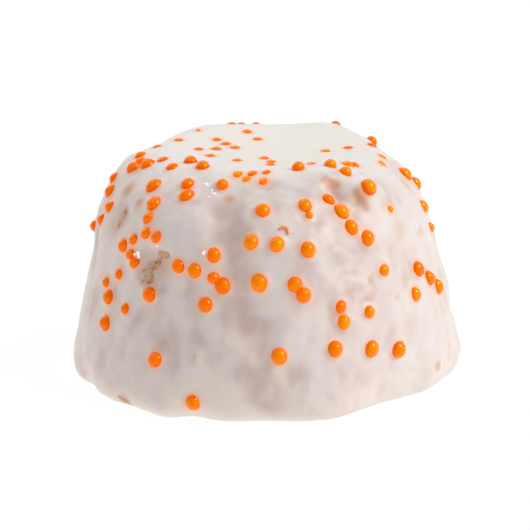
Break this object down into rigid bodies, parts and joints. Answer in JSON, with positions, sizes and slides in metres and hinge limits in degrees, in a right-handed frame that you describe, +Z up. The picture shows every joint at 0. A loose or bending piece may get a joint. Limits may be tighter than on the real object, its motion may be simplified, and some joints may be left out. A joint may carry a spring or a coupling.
{
  "type": "glazed carrot cake bite",
  "caption": "Bite-size tapered carrot cake, wide end down, coated in lumpy white glaze and strewn with round orange sugar sprinkles.",
  "frame": {"origin": "middle of the flat foot that the cake stands on", "axes": "+Z up through the top, -Y towards the side that the picture shows, +X to the right of someone facing that side"},
  "size_m": [0.0486, 0.0479, 0.0293],
  "materials": {
    "glaze": "satin",
    "sprinkle": "gloss",
    "crumb": "matte"
  },
  "bodies": {
    "root": {"cake_bite": "glaze"}
  },
  "joints": []
}
